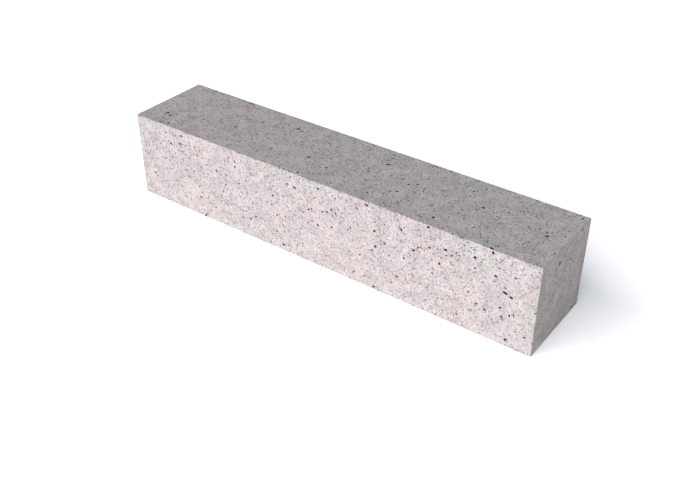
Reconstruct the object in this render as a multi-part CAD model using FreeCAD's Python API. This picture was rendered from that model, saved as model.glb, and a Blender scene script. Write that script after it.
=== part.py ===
"""A concrete stacking block: one solid cast bar of square section, five times as long as it is thick.

Such blocks are stacked dry or glued in courses, for low garden walls, raised beds and steps. The block is cast
in one piece and is solid all through. Its six faces are flat, so that it lies steadily on any of its four long
sides. Its arrises are square to the eye, and only as round as a steel mould and a little handling leave them.

Frame: +X along the block's length, +Z up, and the origin at the middle of the face that it lies on. Millimetres.
"""

import FreeCAD
import Part
import os

LENGTH = 600.0
SLENDERNESS = 5.0  # length over thickness
THICKNESS = LENGTH / SLENDERNESS  # the square section's side
ARRIS_RADIUS = 1.0


def stacking_block():
    """The whole block, with every arris and corner slightly rounded."""
    lowest_corner = FreeCAD.Vector(-LENGTH / 2, -THICKNESS / 2, 0)
    bar = Part.makeBox(LENGTH, THICKNESS, THICKNESS, lowest_corner)
    return bar.makeFillet(ARRIS_RADIUS, bar.Edges)


def report_on(name, solid):
    """Prints what a reader would check: one valid closed solid, its size, and its weight in plain concrete."""
    concrete_density = 2300.0  # kg for each cubic metre
    cubic_mm_in_a_cubic_metre = 1e9
    box = solid.BoundBox
    weight = solid.Volume / cubic_mm_in_a_cubic_metre * concrete_density
    print(f"{name}: valid {solid.isValid()}, closed {solid.isClosed()}, solids {len(solid.Solids)}")
    print(f"{name}: {box.XLength:.1f} x {box.YLength:.1f} x {box.ZLength:.1f} mm, about {weight:.1f} kg")


def main():
    os.makedirs("parts", exist_ok=True)
    block = stacking_block()
    block.exportStep("parts/stacking_block.step")
    report_on("stacking_block", block)


main()
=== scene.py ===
# %% [markdown]
# # A cast concrete stacking block
#
# The block is one bar of pale, slightly pink concrete with a square section.
# What makes it look like concrete is small: air pores that the mould left
# open, arrises that crumbled as it was lifted out, sand showing through the
# cement skin, and faint clouds of pink and grey. The pores and the crumbled
# arrises are cut into the mesh. Sand and clouds are painted by shader nodes.

# %% Load the measured block
import math
import random

import bmesh
import bpy
from mathutils import Matrix, Vector, noise


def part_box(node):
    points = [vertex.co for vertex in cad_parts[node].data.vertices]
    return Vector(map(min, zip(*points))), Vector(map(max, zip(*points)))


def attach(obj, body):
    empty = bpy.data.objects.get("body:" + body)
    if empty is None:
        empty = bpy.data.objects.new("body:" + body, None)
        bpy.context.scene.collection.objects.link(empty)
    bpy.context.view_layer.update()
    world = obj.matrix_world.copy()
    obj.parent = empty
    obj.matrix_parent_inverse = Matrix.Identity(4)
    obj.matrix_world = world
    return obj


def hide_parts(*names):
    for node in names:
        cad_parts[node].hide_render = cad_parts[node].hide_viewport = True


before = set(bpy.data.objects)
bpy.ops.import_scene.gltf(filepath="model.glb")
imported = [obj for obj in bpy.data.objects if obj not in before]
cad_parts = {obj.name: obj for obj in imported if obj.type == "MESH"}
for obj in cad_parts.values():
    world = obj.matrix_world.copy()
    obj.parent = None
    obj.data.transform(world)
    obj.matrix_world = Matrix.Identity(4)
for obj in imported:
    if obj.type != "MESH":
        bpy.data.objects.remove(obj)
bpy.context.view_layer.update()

MM = 0.001
low, high = (Vector(corner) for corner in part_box("stacking_block"))
block_size = high - low
block_middle = (low + high) / 2
print("block measures", [round(side / MM, 1) for side in block_size], "mm")

# %% [markdown]
# ## Where the camera stands
#
# A product picture of a long bar is taken from one corner and above, so that
# three faces show. The camera turns 36 degrees to the right of square-on,
# climbs 34 degrees, and stands two block lengths away. That is near enough
# for the far end to look clearly smaller. It looks a hair below the middle of
# the face that the block lies on, so no lens shift is needed.

# %% Camera
CAMERA_TURN = math.radians(36.37)
CAMERA_CLIMB = math.radians(34.08)
CAMERA_DISTANCE = 2.026 * block_size.x
CAMERA_LENS = 49.03  # on a sensor 36 mm wide
AIM_DROP = 0.45 * MM

towards_camera = Vector((
    math.sin(CAMERA_TURN) * math.cos(CAMERA_CLIMB),
    -math.cos(CAMERA_TURN) * math.cos(CAMERA_CLIMB),
    math.sin(CAMERA_CLIMB),
))
foot = Vector((block_middle.x, block_middle.y, low.z))
aim = foot - Vector((0, 0, AIM_DROP))
camera_data = bpy.data.cameras.new("product_camera")
camera_data.lens = CAMERA_LENS
camera = bpy.data.objects.new("product_camera", camera_data)
camera.location = aim + towards_camera * CAMERA_DISTANCE
camera.rotation_euler = towards_camera.to_track_quat("Z", "Y").to_euler()
bpy.context.collection.objects.link(camera)
bpy.context.scene.camera = camera
print("camera stands at", [round(part, 3) for part in camera.location])

# %% [markdown]
# ## The plain bar from the mould
#
# Everything starts from a cube that takes the measured size. A narrow bevel
# makes the arrises, because no cast edge is a perfect line. Then planes slice
# the bar into cells of 10 mm. The slices change nothing to the eye, but they
# keep every later cut in its own small face instead of one face 600 mm long.

# %% Bar with arrises and cells
ARRIS = 0.5 * MM
CELL = 10 * MM
AXES = (Vector((1, 0, 0)), Vector((0, 1, 0)), Vector((0, 0, 1)))


def slice_into_cells(bar):
    for axis, normal in enumerate(AXES):
        cuts = round(block_size[axis] / CELL)
        for step in range(1, cuts):
            bmesh.ops.bisect_plane(
                bar,
                geom=bar.verts[:] + bar.edges[:] + bar.faces[:],
                plane_co=low + normal * step * CELL,
                plane_no=normal,
            )


bar = bmesh.new()
bmesh.ops.create_cube(
    bar, size=1, matrix=Matrix.Translation(block_middle) @ Matrix.Diagonal((*block_size, 1))
)
bmesh.ops.bevel(
    bar, geom=bar.edges[:], offset=ARRIS, affect="EDGES", segments=2, profile=0.5, material=-1
)
slice_into_cells(bar)
print("bar has", len(bar.faces), "faces")

# %% [markdown]
# ## The hand of the mould
#
# Mould boards give a little under wet concrete, so no face is dead flat. Each
# point moves inwards by about a tenth of a millimetre at most, read from a smooth 3-D
# noise. It can't be seen as a shape, but light slides over it less evenly
# than over a computer's plane. Moving only inwards keeps the measured size.

# %% Slight unevenness
WAVE_DEPTH = 0.12 * MM
WAVE_LENGTH = 55 * MM
presses = []

for point in bar.verts:
    wave = noise.noise(point.co / WAVE_LENGTH) * 0.5 + 0.5
    inwards = (foot + AXES[2] * block_size.z / 2) - point.co
    for axis in range(3):
        if abs(abs(inwards[axis]) - block_size[axis] / 2) < ARRIS / 4:
            point.co[axis] += math.copysign(wave * WAVE_DEPTH, inwards[axis])
            presses.append(wave * WAVE_DEPTH)
print("points pressed in:", len(presses), "| deepest", round(max(presses) / MM, 3), "mm")

# %% [markdown]
# ## Six faces to work on
#
# Pores lie on faces, so each face gets a name, a direction out of the block,
# and two directions along it. A place on a face is then written as a maker
# would measure it: millimetres right and up from the middle of that face.


# %% Faces of the block
class Side:
    def __init__(self, name, out, across, up):
        self.name = name
        self.out = Vector(out)
        self.across = Vector(across)
        self.up = Vector(up)
        self.width = abs(self.across.dot(block_size))
        self.height = abs(self.up.dot(block_size))
        self.middle = block_middle + self.out * abs(self.out.dot(block_size)) / 2

    def at(self, right, rise):
        return self.middle + self.across * right + self.up * rise


SIDES = {
    side.name: side
    for side in (
        Side("front", (0, -1, 0), (1, 0, 0), (0, 0, 1)),
        Side("back", (0, 1, 0), (-1, 0, 0), (0, 0, 1)),
        Side("top", (0, 0, 1), (1, 0, 0), (0, 1, 0)),
        Side("bed", (0, 0, -1), (1, 0, 0), (0, -1, 0)),
        Side("right_end", (1, 0, 0), (0, 1, 0), (0, 0, 1)),
        Side("left_end", (-1, 0, 0), (0, -1, 0), (0, 0, 1)),
    )
}
for side in SIDES.values():
    print(side.name, "is", round(side.width / MM), "by", round(side.height / MM), "mm")

# %% [markdown]
# ## Air pores
#
# When concrete is poured, bubbles of air cling to the mould and leave small
# hollows with sharp rims. They could be drawn in a texture, or pressed into
# the mesh by moving points, but both give soft edges. Here each bubble is a
# small uneven ball, and a Boolean takes all of the balls out of the bar at
# once, as the air did. The rims come out crisp and every hollow has real
# depth, from any side.
#
# The larger pores are placed one by one where the eye would miss them. The rest
# are sown at random with a fixed seed, thicker in some patches than in others.


# %% Shape of one bubble
LUMP = 0.42  # how far the noise may swell or dent a ball of radius 1
LUMPS_ACROSS = 1.5


class Bubble:
    def __init__(self, place, out, width, stretch=1.0, depth=1.0, turn=0.0, detail=2):
        self.place, self.out, self.width = place, out, width
        self.stretch, self.depth, self.turn, self.detail = stretch, depth, turn, detail

    def shape(self, mesh, seed):
        half = self.width / 2
        frame_of_face = self.out.to_track_quat("Z", "Y").to_matrix().to_4x4()
        spot = (
            Matrix.Translation(self.place)
            @ frame_of_face
            @ Matrix.Rotation(self.turn, 4, "Z")
            @ Matrix.Diagonal((half * self.stretch, half / self.stretch, half * self.depth, 1))
        )
        made = bmesh.ops.create_icosphere(mesh, subdivisions=self.detail, radius=1.0)
        own_noise = Vector((seed * 7.31, seed * 3.17, seed * 5.73))
        for point in made["verts"]:
            lumpy = 1 + LUMP * noise.noise(point.co * LUMPS_ACROSS + own_noise)
            point.co = spot @ (point.co * lumpy)


print("a bubble swells or dents by up to", round(LUMP * 100), "% of its radius")

# %% Blow bubbles in batches
BATCH = 90  # bubbles made in one bmesh, which slows down as it fills
bubble_batches = []


def blow(bubbles):
    for first in range(0, len(bubbles), BATCH):
        mesh = bmesh.new()
        for number, bubble in enumerate(bubbles[first:first + BATCH]):
            bubble.shape(mesh, first + number)
        data = bpy.data.meshes.new("bubbles")
        mesh.to_mesh(data)
        mesh.free()
        bubble_batches.append(bpy.data.objects.new("bubbles", data))
    print("blown:", len(bubbles), "bubbles | batches so far:", len(bubble_batches))


# %% [markdown]
# ## The pores that catch the eye
#
# Each row below is one pore, written as a maker would note it down: how far
# right of the middle of the face, how far up, how wide, how much longer than
# wide, and how far it is turned. Those are millimetres, a ratio and degrees.

# %% Pores listed one by one
FRONT_PORES = (
    (-276, -22, 4, 1.1, 0), (-273, -26, 3.5, 1, 0), (-247, 49, 3.5, 1, 0), (-239, 35, 5.5, 1.7, -20),
    (-219, 52, 4.5, 1.3, -10), (-220, -40, 3.5, 1, 0), (-186, 16, 3, 1.1, 20), (-159, 20, 4, 1.2, 0),
    (-189, -23, 3.5, 1, 0), (-192, -31, 4, 1.1, 0), (-126, 45, 4, 1.1, 0), (-126, 37, 4, 1.1, 0),
    (-143, 20, 3, 1, 0), (-95, -26, 4, 1.1, 0), (-104, -32, 4, 1, 0), (-92, 12, 3, 1, 0),
    (-75, 4, 3, 1.2, 30), (-67, 3, 3, 1, 0), (-61, 48, 3, 1, 0), (-60, -35, 3.5, 1, 0),
    (-59, -10, 3.5, 1.1, 0), (-45, -7, 3.5, 1, 0), (-48, 22, 3, 1, 0), (-50, -51, 5, 1.1, 0),
    (-40, 42, 4, 1.2, -20), (-29, 41, 5.5, 1.7, -20), (-9, -2, 3.5, 1, 0), (-3, 20, 3.5, 1, 0),
    (7, 52, 4.5, 1.2, 0), (6, 0, 4.5, 1, 0), (13, 22, 3.5, 1, 0), (27, 30, 4, 1.2, 0),
    (33, 27, 3.5, 1, 0), (27, 5, 4, 1.1, 0), (51, 11, 3.5, 1, 0), (60, -47, 3.5, 1, 0),
    (69, -18, 3.5, 1.3, 50), (78, 55, 5, 1.3, -20), (86, -4, 3.5, 1.2, 0), (91, 3, 4.5, 1.1, 0),
    (104, 12, 4, 1.1, 0), (122, -27, 4.5, 1.8, -25), (130, 44, 3, 1.2, 0), (126, 40, 4.5, 1.2, 10),
    (131, 3, 3.5, 1, 0), (149, 25, 3.5, 1, 0), (90, -56, 5, 1.3, -10), (98, -59, 4.5, 1.9, -10),
    (161, 57, 4.5, 1.3, -10), (164, 31, 4, 1, 0), (168, 16, 3, 1, 0), (178, 15, 4, 1, 0),
    (185, 36, 5, 1.3, -10), (193, 32, 3.5, 1, 0), (198, 38, 3, 1, 0), (217, -7, 3.5, 1, 0),
    (220, -31, 3, 1, 0), (221, 41, 5, 1.5, 35), (239, -22, 5, 1.9, -30), (242, 56, 4.5, 1.5, 80),
    (248, 28, 4.5, 1.2, -20), (257, -11, 4, 1.1, 0), (260, -22, 4, 1.1, 0), (261, 11, 6, 1.8, -15),
    (269, 8, 5.5, 1.5, -15), (269, -16, 3.5, 1, 0), (271, 35, 3.5, 1.2, 0), (290, -37, 3.5, 1.1, 0),
    (268, -51, 4.5, 1, 0),
)
TOP_PORES = (
    (-270, -31, 6, 1.4, 30), (-262, -35, 5, 1.1, 0), (-248, -52, 5, 1, 0), (-217, -17, 4, 1, 0),
    (-98, 36, 6.5, 1.4, -10), (-91, 33, 5, 1.2, 0), (-122, 2, 4, 1, 0), (-103, 13, 4.5, 1, 0),
    (-92, -27, 4.5, 1, 0), (-41, -16, 5, 1.2, 0), (-28, -54, 5, 1, 0), (-7, -24, 4.5, 1, 0),
    (49, 27, 6, 1.5, 10), (104, 8, 4.5, 1, 0), (95, 2, 4.5, 1, 0), (93, -20, 4.5, 1, 0),
    (120, 58, 4.5, 1, 0), (165, 33, 4, 1, 0), (192, 8, 5, 1.1, 0), (188, 0, 4.5, 1, 0),
    (220, 16, 4, 1, 0), (157, -43, 5, 1, 0), (239, -58, 6, 1.4, 0), (276, -2, 5.5, 1.2, 0),
    (273, 4, 4, 1, 0), (264, 6, 4, 1, 0),
)
END_PORES = (
    (-15, 41, 6, 1.2, 20), (38, 56, 5, 1.1, 0), (14, 30, 4, 1, 0), (44, -55, 5.5, 1.1, 0),
)
print("rows:", len(FRONT_PORES), "front,", len(TOP_PORES), "top,", len(END_PORES), "right end")

# %% Turn the rows into bubbles
HAND_WIDTH = {"front": 0.8, "top": 0.84, "right_end": 0.85}  # ball over noted width
HAND_DEPTH = 1.1
pores = {name: [] for name in SIDES}


def place_by_hand(name, rows):
    side = SIDES[name]
    for right, rise, width, stretch, turn in rows:
        pores[name].append(Bubble(
            side.at(right * MM, rise * MM), side.out, width * HAND_WIDTH[name] * MM,
            stretch=math.sqrt(stretch), depth=HAND_DEPTH, turn=math.radians(turn), detail=3,
        ))


place_by_hand("front", FRONT_PORES)
place_by_hand("top", TOP_PORES)
place_by_hand("right_end", END_PORES)
print("placed by hand:", sum(len(found) for found in pores.values()))

# %% [markdown]
# ## The pores nobody counts
#
# The small pores are sown by throwing dice with a fixed seed, so that every
# run sows the same ones. A throw is thrown away where another pore is too
# near, and more often where a slow noise is low, which leaves thick and thin
# patches. A high power of a random number makes small pores far more common
# than large ones, as in real concrete. Wider pores get rounder balls, and the
# many small ones stay cheap.

# %% How pores are sown
dice = random.Random(27)
SOWN = (  # how many to each square decimetre, smallest and largest width in mm
    (6, 2.1, 3.4),
    (60, 1.3, 2.6),
)
SQUARE_DECIMETRE = 0.01
PATCH = 70 * MM  # across a patch where pores are thick
PATIENCE = 400  # throws allowed for each pore to the square decimetre
ROOM = 0.62  # distance kept between two pores, as a share of both widths
USUAL_CHANCE = 0.62  # of a throw being kept, before the patches raise or lower it
MOSTLY_SMALL = 2.2  # the power that makes small pores common
LONGEST = 0.45  # the most that a pore is stretched one way and narrowed the other
print("sown to each square decimetre:", sum(row[0] for row in SOWN))


def detail_for(width):
    if width > 3 * MM:
        return 3
    return 2 if width > 1.9 * MM else 1


# %% Pores sown at random

def sow(side):
    taken = pores[side.name]
    for thick, smallest, largest in SOWN:
        wanted = round(thick * side.width * side.height / SQUARE_DECIMETRE)
        tries = 0
        while wanted and tries < PATIENCE * thick:
            tries += 1
            spot = side.at(
                dice.uniform(-0.5, 0.5) * side.width, dice.uniform(-0.5, 0.5) * side.height
            )
            patch = noise.noise(spot / PATCH + side.out * 3)
            width = (smallest + (largest - smallest) * dice.random() ** MOSTLY_SMALL) * MM
            clear = all(
                (spot - other.place).length > (width + other.width) * ROOM for other in taken
            )
            if dice.random() > USUAL_CHANCE + patch or not clear:
                continue
            taken.append(Bubble(
                spot, side.out, width,
                stretch=1.0 + LONGEST * dice.random() ** 2, depth=dice.uniform(0.7, 1.15),
                turn=dice.uniform(0, math.pi), detail=detail_for(width),
            ))
            wanted -= 1


for side in SIDES.values():
    sow(side)
    print(side.name, "has", len(pores[side.name]), "pores")

# %% [markdown]
# ## Crumbled arrises
#
# The edges of a cast block are its weakest place: grains of sand break off
# them when the mould is struck. The same bubbles do this job too. Small ones
# are strung along all twelve arrises, centred on the edge itself, so each
# takes only a nibble out of it. The four arrises of the bed meet the ground
# and have more of them.

# %% Nibbles along the arrises
NIBBLE_STEP = 9 * MM  # from one to the next, on average
BED_CROWDING = 0.6  # the same step on the arrises of the bed, as a share
SMALLEST_NIBBLE = 1.1  # mm
NIBBLE_SPREAD = 2.4  # mm
nibbles = []


def string_along(start, end, out, step):
    along = (end - start).normalized()
    spot = 0.0
    length = (end - start).length
    while spot < length:
        spot += dice.expovariate(1 / step)
        if spot > length:
            break
        width = (SMALLEST_NIBBLE + NIBBLE_SPREAD * dice.random() ** 3) * MM
        nibbles.append(Bubble(
            start + along * spot, out.normalized(), width,
            stretch=1.0, depth=dice.uniform(0.8, 1.0),
            turn=dice.uniform(0, math.pi), detail=1 if width < 2.2 * MM else 2,
        ))


for axis in range(3):
    others = [other for other in range(3) if other != axis]
    for first_side in (-1, 1):
        for second_side in (-1, 1):
            out = AXES[others[0]] * first_side + AXES[others[1]] * second_side
            centre = block_middle + Vector(
                out[part] * block_size[part] / 2 for part in range(3)
            )
            half = AXES[axis] * block_size[axis] / 2
            step = NIBBLE_STEP * (BED_CROWDING if out.z < 0 else 1.0)
            string_along(centre - half, centre + half, out, step)
print("nibbles:", len(nibbles))

# %% [markdown]
# ## Taking the air out of the bar
#
# The bubbles are joined into one object and a Boolean modifier subtracts it.
# Of its solvers, Manifold is by far the fastest with thousands of closed
# balls. The bubbles carry the second material slot, and the Boolean hands it
# to the hollows they leave, so the walls of the pores can be told apart from
# the skin of the block afterwards.

# %% Join the bubbles
for found in pores.values():
    blow(found)
blow(nibbles)
bpy.ops.object.select_all(action="DESELECT")
for batch in bubble_batches:
    bpy.context.collection.objects.link(batch)
    batch.select_set(True)
bpy.context.view_layer.objects.active = bubble_batches[0]
bpy.ops.object.join()
air = bubble_batches[0]
print("the air has", len(air.data.vertices), "points")

# %% Cut the pores
SKIN, PORE = 0, 1
block_mesh = bpy.data.meshes.new("cast_block")
bar.to_mesh(block_mesh)
bar.free()
block = bpy.data.objects.new("cast_block", block_mesh)
bpy.context.collection.objects.link(block)
skin_material = bpy.data.materials.new("concrete_skin")
pore_material = bpy.data.materials.new("concrete_pore_wall")
for holder in (block_mesh, air.data):
    holder.materials.append(skin_material)
    holder.materials.append(pore_material)
for face in air.data.polygons:
    face.material_index = PORE

cut = block.modifiers.new("take_out_air", "BOOLEAN")
cut.operation = "DIFFERENCE"
cut.solver = "MANIFOLD"
cut.object = air
cut_mesh = bpy.data.meshes.new_from_object(
    block.evaluated_get(bpy.context.evaluated_depsgraph_get())
)
block.modifiers.clear()
block.data = cut_mesh
bpy.data.objects.remove(air)
print("cut block has", len(cut_mesh.polygons), "faces")

# %% [markdown]
# ## Loose crumbs
#
# Where two bubbles nearly met, a sliver of concrete can be left hanging in
# the air between them. A real one would fall out. The body of the block is
# found by walking from point to point along edges, and whatever that walk
# doesn't reach is deleted.


# %% Sweep out the crumbs
def remove_loose_crumbs(shell):
    start = min(shell.verts, key=lambda point: point.co.length)
    body = {start}
    waiting = [start]
    while waiting:
        point = waiting.pop()
        for edge in point.link_edges:
            neighbour = edge.other_vert(point)
            if neighbour not in body:
                body.add(neighbour)
                waiting.append(neighbour)
    crumbs = [point for point in shell.verts if point not in body]
    bmesh.ops.delete(shell, geom=crumbs, context="VERTS")
    print("points swept out as crumbs:", len(crumbs), "| left:", len(shell.verts))


# %% [markdown]
# ## Crisp rims, smooth walls
#
# Smooth shading rounds off everything that isn't marked sharp. The rim of a
# pore and the arris of the block must stay crisp, while the inside of a pore
# should look round. So the edges are marked by what they separate.

# %% Mark the sharp edges
SKIN_TURN = math.radians(12)
PORE_TURN = math.radians(55)

shell = bmesh.new()
shell.from_mesh(cut_mesh)
remove_loose_crumbs(shell)
for face in shell.faces:
    face.smooth = True
open_edges = 0
for edge in shell.edges:
    if len(edge.link_faces) != 2:
        open_edges += 1
        continue
    kinds = {face.material_index for face in edge.link_faces}
    limit = PORE_TURN if kinds == {PORE} else SKIN_TURN
    edge.smooth = len(kinds) == 1 and edge.calc_face_angle(0) < limit
print("open edges:", open_edges, "| volume", round(shell.calc_volume() * 1000, 3), "litres")

# %% [markdown]
# ## A map of the six faces
#
# For baking, the patterns of the block go into a picture through a UV map.
# Left alone, Blender would give every pore its own island and waste most of
# that picture on gaps.
# on a bench: four long ones and a row with both ends. A pore lies in the
# board of the face that it opens in.

# %% Lay out the map
GAP = 8 * MM
SHARED_RIM = 1.2 * MM  # this near to two faces, a spot goes with the one it looks towards
bench = 5 * block_size.z + 6 * GAP
ROWS = {"front": 0, "top": 1, "back": 2, "bed": 3, "right_end": 4, "left_end": 4}
boards = list(SIDES.values())


def board_of(face):
    centre = face.calc_center_median()
    depths = [(side.middle - centre).dot(side.out) for side in boards]
    near = min(depths)
    choices = [
        side for side, depth in zip(boards, depths) if depth < near + SHARED_RIM
    ]
    return max(choices, key=lambda side: side.out.dot(face.normal))


uv_map = shell.loops.layers.uv.new("OFBake")
for face in shell.faces:
    side = board_of(face)
    shift = block_size.y + GAP if side.name == "left_end" else 0
    for corner in face.loops:
        offset = corner.vert.co - side.middle
        corner[uv_map].uv = (
            (offset.dot(side.across) + side.width / 2 + GAP + shift) / bench,
            (offset.dot(side.up) + side.height / 2 + GAP
             + ROWS[side.name] * (block_size.z + GAP)) / bench,
        )
shell.to_mesh(cut_mesh)
triangles = sum(len(face.verts) - 2 for face in shell.faces)
shell.free()
print("triangles:", triangles)

# %% [markdown]
# ## Building shader nodes in code
#
# The same few steps come back in every material: add a node, set its values,
# plug something into it. A few short helpers keep the recipes readable. A
# socket that is given a number keeps it, and one that is given another
# node's output is linked to it. An effect is a node group, and the last helper
# tells how many nodes a recipe took.

# %% Node helpers
def add(tree, kind, inputs=None, **settings):
    made = tree.nodes.new("ShaderNode" + kind)
    for name, value in settings.items():
        setattr(made, name, value)
    for socket, value in (inputs or {}).items():
        if isinstance(value, bpy.types.NodeSocket):
            tree.links.new(value, made.inputs[socket])
        else:
            made.inputs[socket].default_value = value
    return made


def sum_of(tree, operation, *values, clamp=False):
    inputs = dict(enumerate(values))
    return add(tree, "Math", inputs, operation=operation, use_clamp=clamp).outputs[0]


def blend(tree, amount, first, second, how="MIX"):
    colours = {0: amount, 6: first, 7: second}
    return add(tree, "Mix", colours, data_type="RGBA", blend_type=how).outputs[2]


def ramp(tree, value, start, end, low_value=0.0, high_value=1.0):
    inputs = {0: value, 1: start, 2: end, 3: low_value, 4: high_value}
    return add(tree, "MapRange", inputs, interpolation_type="SMOOTHSTEP").outputs[0]


def new_effect(name, inputs, outputs):
    tree = bpy.data.node_groups.new(name, "ShaderNodeTree")
    kinds = {"v": "NodeSocketVector", "f": "NodeSocketFloat"}
    for label, kind, value in inputs:
        socket = tree.interface.new_socket(label, in_out="INPUT", socket_type=kinds[kind])
        if value is not None:
            socket.default_value = value
    for label, kind in outputs:
        tree.interface.new_socket(label, in_out="OUTPUT", socket_type=kinds[kind])
    taken = tree.nodes.new("NodeGroupInput").outputs
    given = tree.nodes.new("NodeGroupOutput").inputs
    return tree, taken, given


def use_effect(tree, effect, **values):
    made = tree.nodes.new("ShaderNodeGroup")
    made.node_tree = effect
    for name, value in values.items():
        socket = made.inputs[name.replace("_", " ")]
        if isinstance(value, bpy.types.NodeSocket):
            tree.links.new(value, socket)
        else:
            socket.default_value = value
    return made.outputs


def tell(name, tree):
    print(name, "has", len(tree.nodes), "nodes")


# %% [markdown]
# ## Sand in the cement
#
# Where the cement skin is thin, grains of sand show as fine dots, some darker
# and some lighter than the paste. A Voronoi texture divides space into small
# cells. Each cell gets a random number, and only the cells above a limit
# become a grain, so that the share of grains can be chosen. A soft disc in
# the cell gives the grain its outline, a noise bends that outline, and a
# second random number makes some grains fainter than others. The skin and the
# pore walls both use this effect, so it is a node group with named inputs.

# %% Effect: sand grains
sand_grains, taken, given = new_effect(
    "sand_grains",
    [("Place", "v", None), ("Grain", "f", 0.0015), ("Share", "f", 0.1), ("Fullness", "f", 0.5)],
    [("Mask", "f")],
)
tree = sand_grains
BENDS_PER_GRAIN = 1.7
BEND_DEPTH = 1.5  # in grains
FAINTEST = 0.25
SOFT_FROM = 0.6  # share of the disc that is fully covered
per_metre = sum_of(tree, "DIVIDE", 1.0, taken["Grain"])
wobble = add(tree, "TexNoise", {
    "Vector": taken["Place"], "Detail": 1.5,
    "Scale": sum_of(tree, "MULTIPLY", per_metre, BENDS_PER_GRAIN),
})
centred = add(
    tree, "VectorMath", {0: wobble.outputs["Color"], 1: (0.5, 0.5, 0.5)}, operation="SUBTRACT"
)
pushed = add(tree, "VectorMath", {
    0: centred.outputs[0], "Scale": sum_of(tree, "MULTIPLY", taken["Grain"], BEND_DEPTH),
}, operation="SCALE")
bent = add(tree, "VectorMath", {0: taken["Place"], 1: pushed.outputs[0]}, operation="ADD")
cells = add(tree, "TexVoronoi", {"Vector": bent.outputs[0], "Scale": per_metre})
draws = add(tree, "SeparateColor", {0: cells.outputs["Color"]}).outputs
limit = sum_of(tree, "SUBTRACT", 1.0, taken["Share"])
chosen = sum_of(tree, "GREATER_THAN", draws[0], limit)
rim = sum_of(tree, "MULTIPLY", taken["Fullness"], SOFT_FROM)
disc = ramp(tree, cells.outputs["Distance"], rim, taken["Fullness"], 1.0, 0.0)
strength = sum_of(tree, "MULTIPLY_ADD", draws[1], 1 - FAINTEST, FAINTEST)
grain = sum_of(tree, "MULTIPLY", chosen, disc)
tree.links.new(sum_of(tree, "MULTIPLY", grain, strength), given["Mask"])
tell("sand_grains", tree)

# %% [markdown]
# ## Clouds in the skin
#
# Water moves through fresh concrete unevenly, and leaves clouds of warmer and
# greyer cement a few centimetres across. Two slow noises, read at different
# places, say how pink and how grey a spot is. A third, quicker one makes the
# paste itself lighter and darker.

# %% Effect: cement clouds
cement_clouds, taken, given = new_effect(
    "cement_clouds",
    [("Place", "v", None), ("Cloud", "f", 0.04)],
    [("Pink", "f"), ("Grey", "f"), ("Tone", "f")],
)
tree = cement_clouds
ELSEWHERE = (3.1, 1.7, 5.3)  # moves the second noise away from the first
slow = sum_of(tree, "DIVIDE", 1.0, taken["Cloud"])
shifted = add(tree, "VectorMath", {0: taken["Place"], 1: ELSEWHERE}, operation="ADD")
pink = add(tree, "TexNoise", {"Vector": taken["Place"], "Scale": slow, "Detail": 3.0})
grey = add(tree, "TexNoise", {"Vector": shifted.outputs[0], "Scale": slow, "Detail": 3.0})
tone = add(tree, "TexNoise", {
    "Vector": shifted.outputs[0], "Scale": sum_of(tree, "MULTIPLY", slow, 2.5), "Detail": 5.0,
})
tree.links.new(ramp(tree, pink.outputs[0], 0.45, 0.65), given["Pink"])
tree.links.new(ramp(tree, grey.outputs[0], 0.5, 0.68), given["Grey"])
tree.links.new(ramp(tree, tone.outputs[0], 0.3, 0.7), given["Tone"])
tell("cement_clouds", tree)

# %% [markdown]
# ## How deep a spot lies
#
# A pore is pale at its rim and dark inside. The dark is painted shade,
# deeper the further a spot lies below the face, where little light would get
# in. The block is a plain box, so the depth of any spot is its distance to
# the nearest of the six planes. That is plain arithmetic on the Object
# coordinates, with no texture needed.

# %% Effect: depth below the faces
depth_below_faces, taken, given = new_effect(
    "depth_below_faces",
    [("Place", "v", None), ("Middle", "v", tuple(block_middle)), ("Half", "v", tuple(block_size / 2))],
    [("Depth", "f")],
)
tree = depth_below_faces
from_middle = add(
    tree, "VectorMath", {0: taken["Place"], 1: taken["Middle"]}, operation="SUBTRACT"
)
spread = add(tree, "VectorMath", {0: from_middle.outputs[0]}, operation="ABSOLUTE")
room = add(tree, "VectorMath", {0: taken["Half"], 1: spread.outputs[0]}, operation="SUBTRACT")
rooms = add(tree, "SeparateXYZ", {0: room.outputs[0]}).outputs
nearest = sum_of(tree, "MINIMUM", sum_of(tree, "MINIMUM", rooms[0], rooms[1]), rooms[2])
tree.links.new(nearest, given["Depth"])
tell("depth_below_faces", tree)

# %% [markdown]
# ## Which face is rougher
#
# Four faces of the block are cast against boards. The top is the open face
# of the mould, levelled with a trowel, and stays sandier. The ends are cast
# against steel plates and come out smoother. This effect tells from the
# height and the distance from the middle which of the three a spot is on. It
# also gives a mask of the top alone, which tints the top a little greyer than
# the cast faces.

# %% Effect: finish of each face
face_finish, taken, given = new_effect(
    "face_finish",
    [
        ("Place", "v", None), ("Board Cast", "f", 1.0), ("Trowelled Top", "f", 1.4),
        ("Steel Cast End", "f", 0.7), ("Half Length", "f", block_size.x / 2),
        ("Height", "f", block_size.z),
    ],
    [("Sandiness", "f"), ("Trowelled", "f")],
)
tree = face_finish
SKIN_REACH = 0.7 * MM
parts = add(tree, "SeparateXYZ", {0: taken["Place"]}).outputs
below_top = sum_of(tree, "SUBTRACT", taken["Height"], parts[2])
from_end = sum_of(tree, "SUBTRACT", taken["Half Length"], sum_of(tree, "ABSOLUTE", parts[0]))
top_amount = ramp(tree, below_top, SKIN_REACH / 2, SKIN_REACH, 1.0, 0.0)
end_amount = ramp(tree, from_end, SKIN_REACH / 2, SKIN_REACH, 1.0, 0.0)
level = add(tree, "Mix", {0: top_amount, 2: taken["Board Cast"], 3: taken["Trowelled Top"]})
level = add(tree, "Mix", {0: end_amount, 2: level.outputs[0], 3: taken["Steel Cast End"]})
tree.links.new(level.outputs[0], given["Sandiness"])
tree.links.new(top_amount, given["Trowelled"])
tell("face_finish", tree)

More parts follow.
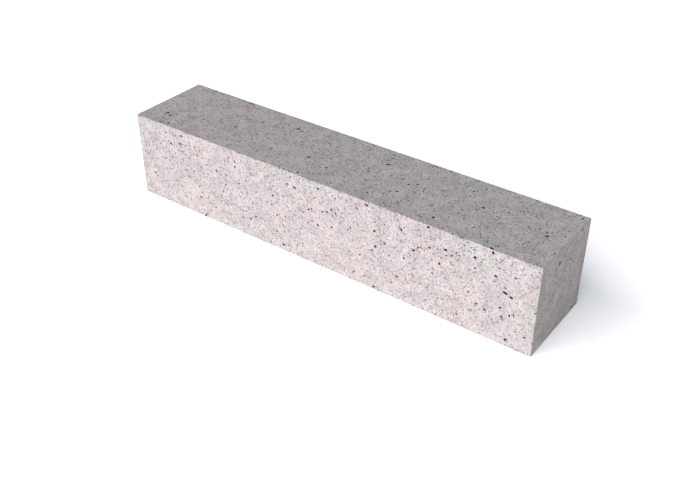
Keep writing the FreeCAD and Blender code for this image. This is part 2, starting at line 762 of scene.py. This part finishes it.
# %% [markdown]
# ## The cement skin
#
# The skin is mixed as the concrete was: paste first, then clouds, then sand.
# Light grains of one size and dark grains of three give the salt-and-pepper
# look. The dark grains and a fine noise feed a Bump node, so the skin also feels sandy to
# the light. Concrete hardly shines, and where it does, its roughness varies.

# %% Colours of the mix
PASTE = (0.532, 0.487, 0.488, 1)
PINK_PASTE = (0.572, 0.495, 0.498, 1)
GREY_PASTE = (0.512, 0.493, 0.482, 1)
DARK_SAND = (0.13, 0.113, 0.113, 1)
LIGHT_SAND = (0.72, 0.675, 0.67, 1)
# painted shade: the colour that the inside of a pore fades to
PORE_PAINTED_SHADE = (0.03, 0.024, 0.024, 1)
TOP_TINT = (0.955, 0.998, 1.0, 1)  # multiplies the colour of the trowelled top
CLOUD = 45 * MM
CLOUD_STRENGTH = 0.8
DARKEST_TONE, PALEST_TONE = 0.91, 1.08
GRIT = 1.6 * MM
GRIT_SWING = (-0.2, 0.17)
SANDS = (  # grain size in metres, share of cells, fullness of its cell, strength, colour
    (0.0022, 0.20, 0.52, 0.80, LIGHT_SAND),
    (0.0019, 0.20, 0.52, 0.90, DARK_SAND),
    (0.0031, 0.20, 0.44, 0.84, DARK_SAND),
    (0.0045, 0.09, 0.38, 0.78, DARK_SAND),
)
print("sands in the mix:", len(SANDS))


# %% Mixing the colour
def tinted(tree, colour, shade):
    grey = add(tree, "CombineColor", {0: shade, 1: shade, 2: shade}).outputs[0]
    return blend(tree, 1.0, colour, grey, "MULTIPLY")


def with_sand(tree, place, sandy, colour, height):
    for grain, share, fullness, strength, sand in SANDS:
        mask = use_effect(
            tree, sand_grains, Place=place, Grain=grain, Share=share, Fullness=fullness
        )["Mask"]
        shown = sum_of(tree, "MULTIPLY", mask, strength)
        colour = blend(tree, sum_of(tree, "MULTIPLY", shown, sandy, clamp=True), colour, sand)
        if sand == DARK_SAND:
            height = sum_of(tree, "SUBTRACT", height, mask)
    return colour, height


def concrete_colour(tree, place):
    finish = use_effect(tree, face_finish, Place=place)
    sandy = finish["Sandiness"]
    clouds = use_effect(tree, cement_clouds, Place=place, Cloud=CLOUD)
    pinkness = sum_of(tree, "MULTIPLY", clouds["Pink"], CLOUD_STRENGTH)
    greyness = sum_of(tree, "MULTIPLY", clouds["Grey"], CLOUD_STRENGTH)
    colour = blend(tree, pinkness, PASTE, PINK_PASTE)
    colour = blend(tree, greyness, colour, GREY_PASTE)
    colour = tinted(tree, colour, ramp(tree, clouds["Tone"], 0.0, 1.0, DARKEST_TONE, PALEST_TONE))
    grit = add(tree, "TexNoise", {"Vector": place, "Scale": 1 / GRIT, "Detail": 2.0}).outputs[0]
    swing = sum_of(tree, "MULTIPLY", ramp(tree, grit, 0.25, 0.75, *GRIT_SWING), sandy)
    colour = tinted(tree, colour, sum_of(tree, "ADD", swing, 1.0))
    colour, height = with_sand(tree, place, sandy, colour, grit)
    return blend(tree, finish["Trowelled"], colour, TOP_TINT, "MULTIPLY"), height


# %% Material: concrete skin
def start_material(material):
    material.use_nodes = True
    tree = material.node_tree
    shader = tree.nodes["Principled BSDF"]
    shader.inputs["Specular IOR Level"].default_value = 0.3
    place = tree.nodes.new("ShaderNodeTexCoord").outputs["Object"]
    return tree, shader, place


tree, shader, place = start_material(skin_material)
colour, height = concrete_colour(tree, place)
tree.links.new(colour, shader.inputs["Base Color"])
tree.links.new(ramp(tree, height, -0.5, 1.0, 0.95, 0.8), shader.inputs["Roughness"])
bump = add(tree, "Bump", {"Height": height, "Distance": 0.3 * MM, "Strength": 1.0})
tree.links.new(bump.outputs[0], shader.inputs["Normal"])
tell("concrete_skin", tree)

# %% [markdown]
# ## The walls of the pores
#
# Inside a pore is the same concrete, so it takes the same colour, and then
# painted shade fades it to nearly black within about a millimetre of the face.
# The sand stands out less there, because a bubble leaves a film of cement, so
# its bump is lower.

# %% Material: pore walls
RIM_DEPTH, DARK_DEPTH = 0.1 * MM, 1.2 * MM
tree, shader, place = start_material(pore_material)
colour, height = concrete_colour(tree, place)
depth = use_effect(tree, depth_below_faces, Place=place)["Depth"]
# painted shade, darker the deeper a spot lies inside a pore
painted_shade = ramp(tree, depth, RIM_DEPTH, DARK_DEPTH)
colour = blend(tree, painted_shade, colour, PORE_PAINTED_SHADE)
tree.links.new(colour, shader.inputs["Base Color"])
shader.inputs["Roughness"].default_value = 0.9
bump = add(tree, "Bump", {"Height": height, "Distance": 0.1 * MM, "Strength": 0.6})
tree.links.new(bump.outputs[0], shader.inputs["Normal"])
tell("concrete_pore_wall", tree)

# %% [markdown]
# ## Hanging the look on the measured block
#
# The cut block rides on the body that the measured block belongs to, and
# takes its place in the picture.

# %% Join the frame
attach(block, "root")
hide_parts("stacking_block")
print(block.name, "stands for stacking_block")

# %% [markdown]
# ## Studio floor and world
#
# The block stands on white that has no horizon. To the camera, and to
# mirror-like and see-through rays, the floor is a burnt-out white that still
# takes the shadow. To all other rays it is an ordinary pale floor, so it
# doesn't throw too much light back on the block. Light Path tells the two
# kinds of ray apart. The world does the same: white to look at, and to the
# block a soft glow that is strongest near the horizon, as from tall white
# screens around the table.

# %% Floor
FLOOR_HALF = 10  # metres from the block to its edge
floor_shape = bmesh.new()
bmesh.ops.create_grid(floor_shape, x_segments=8, y_segments=8, size=FLOOR_HALF)
floor_mesh = bpy.data.meshes.new("studio_floor")
floor_shape.to_mesh(floor_mesh)
floor_shape.free()
floor = bpy.data.objects.new("studio_floor", floor_mesh)
bpy.context.collection.objects.link(floor)
print("floor is", 2 * FLOOR_HALF, "m wide")

# %% White of the floor
FLOOR_PALE = (0.88, 0.88, 0.88, 1)
FLOOR_SHOWN = (1.6, 1.6, 1.6, 1)
FLOOR_LIFT = (0.19, 0.213, 0.244, 1)


def seen_directly(tree):
    path = tree.nodes.new("ShaderNodeLightPath").outputs
    seen = sum_of(tree, "MAXIMUM", path["Is Camera Ray"], path["Is Glossy Ray"])
    return sum_of(tree, "MAXIMUM", seen, path["Is Transmission Ray"])


floor_material = bpy.data.materials.new("studio_white")
floor_material.use_nodes = True
tree = floor_material.node_tree
tree.nodes.clear()
plain = add(tree, "BsdfDiffuse", {"Color": FLOOR_PALE})
shown = add(tree, "BsdfDiffuse", {"Color": FLOOR_SHOWN})
lift = add(tree, "Emission", {"Color": FLOOR_LIFT})
bright = add(tree, "AddShader", {0: shown.outputs[0], 1: lift.outputs[0]})
mixed = add(tree, "MixShader", {0: seen_directly(tree), 1: plain.outputs[0], 2: bright.outputs[0]})
add(tree, "OutputMaterial", {"Surface": mixed.outputs[0]})
floor_mesh.materials.append(floor_material)
tell("studio_white", tree)

# %% World
HORIZON_GLOW = 2.2
GLOW_FALL = 4.0  # how fast the glow fades upwards
GLOW_COLOUR = (0.935, 1.0, 1.02, 1)
world = bpy.data.worlds.new("studio_screens")
world.use_nodes = True
tree = world.node_tree
tree.nodes.clear()
upwards = add(tree, "SeparateXYZ", {
    0: tree.nodes.new("ShaderNodeTexCoord").outputs["Generated"],
}).outputs[2]
fade = sum_of(tree, "POWER", sum_of(tree, "SUBTRACT", 1.0, upwards, clamp=True), GLOW_FALL)
glow = add(tree, "Background", {
    "Color": GLOW_COLOUR, "Strength": sum_of(tree, "MULTIPLY", fade, HORIZON_GLOW),
})
white = add(tree, "Background", {"Color": (1, 1, 1, 1), "Strength": 1.0})
mixed = add(tree, "MixShader", {0: seen_directly(tree), 1: glow.outputs[0], 2: white.outputs[0]})
add(tree, "OutputWorld", {"Surface": mixed.outputs[0]})
bpy.context.scene.world = world
tell("studio_screens", tree)

# %% [markdown]
# ## Key light
#
# One very large soft lamp stands low at the front left. It makes the long
# face the brightest, lets the top fall to half of that, and leaves the right
# end in shade. A Sun lamp lights the floor evenly to its far edge, and its
# angle of 90 degrees makes it as soft as a window wall.

# %% Key light
KEY_TURN = math.radians(30)
KEY_CLIMB = math.radians(23)
KEY_STRENGTH = 4.06
KEY_SOFTNESS = math.radians(90)
KEY_COLOUR = (1.04, 1.0, 1.0)
key_data = bpy.data.lights.new("key_light", "SUN")
key_data.energy = KEY_STRENGTH
key_data.angle = KEY_SOFTNESS
key_data.color = KEY_COLOUR
key = bpy.data.objects.new("key_light", key_data)
towards_key = Vector((
    -math.sin(KEY_TURN) * math.cos(KEY_CLIMB),
    -math.cos(KEY_TURN) * math.cos(KEY_CLIMB),
    math.sin(KEY_CLIMB),
))
key.rotation_euler = towards_key.to_track_quat("Z", "Y").to_euler()
bpy.context.collection.objects.link(key)
bpy.context.scene.view_settings.view_transform = "Standard"
print("key light comes from", [round(part, 2) for part in towards_key])
